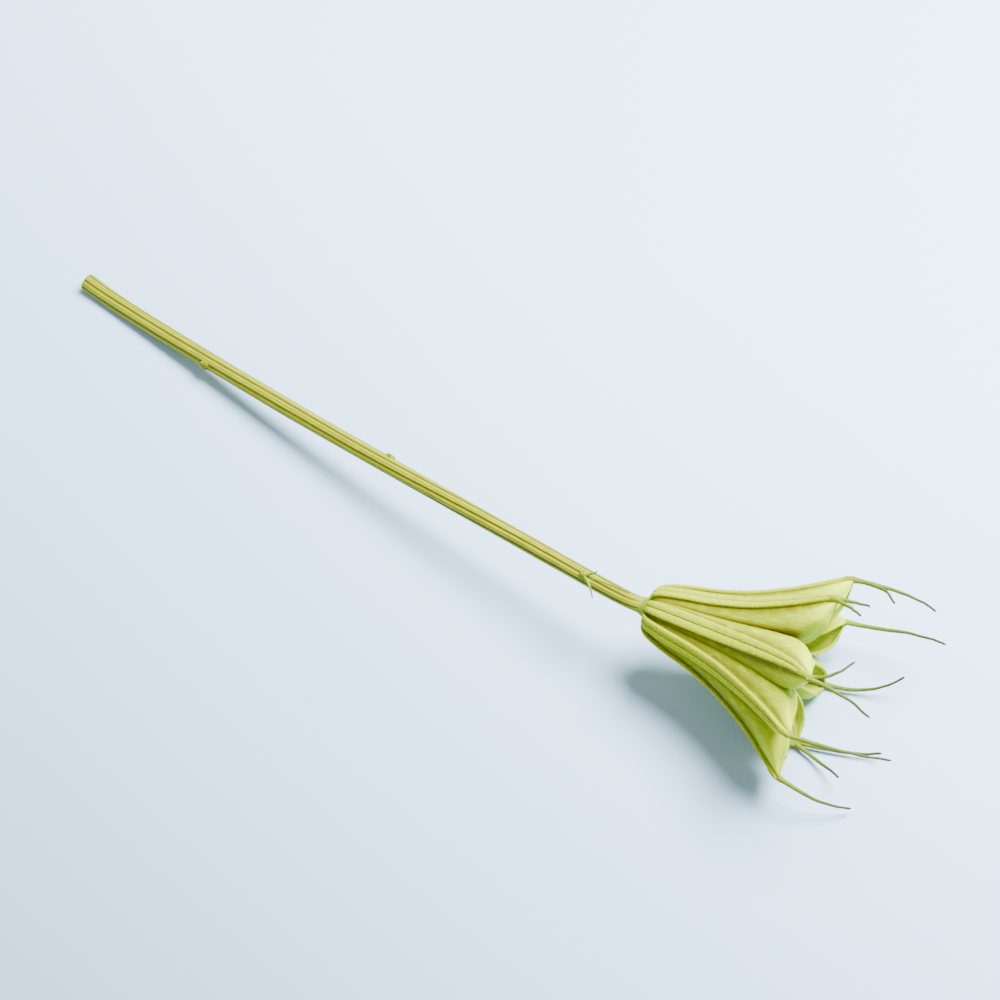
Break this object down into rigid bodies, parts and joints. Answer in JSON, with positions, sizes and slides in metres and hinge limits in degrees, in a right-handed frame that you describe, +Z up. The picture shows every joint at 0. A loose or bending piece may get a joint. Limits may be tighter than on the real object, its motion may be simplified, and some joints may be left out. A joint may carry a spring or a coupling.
{
  "type": "nigella seed pod",
  "caption": "Dried bell-shaped seed pod of ribbed pouches grown together round an axis, each with an open mouth and a curving thread, on a cut ribbed stem.",
  "frame": {"origin": "on the surface that the pod lies on, under the middle of its bounding box", "axes": "+X along the stem towards the pod's mouth, +Z up from the surface, +Y across"},
  "size_m": [0.159, 0.0334, 0.0288],
  "materials": {
    "pod": "satin, papery",
    "stem": "satin, ribbed",
    "leaf": "dry, matte"
  },
  "bodies": {
    "root": {"seed_pod": "pod", "stem": "stem", "leaf_remnant": "leaf"}
  },
  "joints": []
}
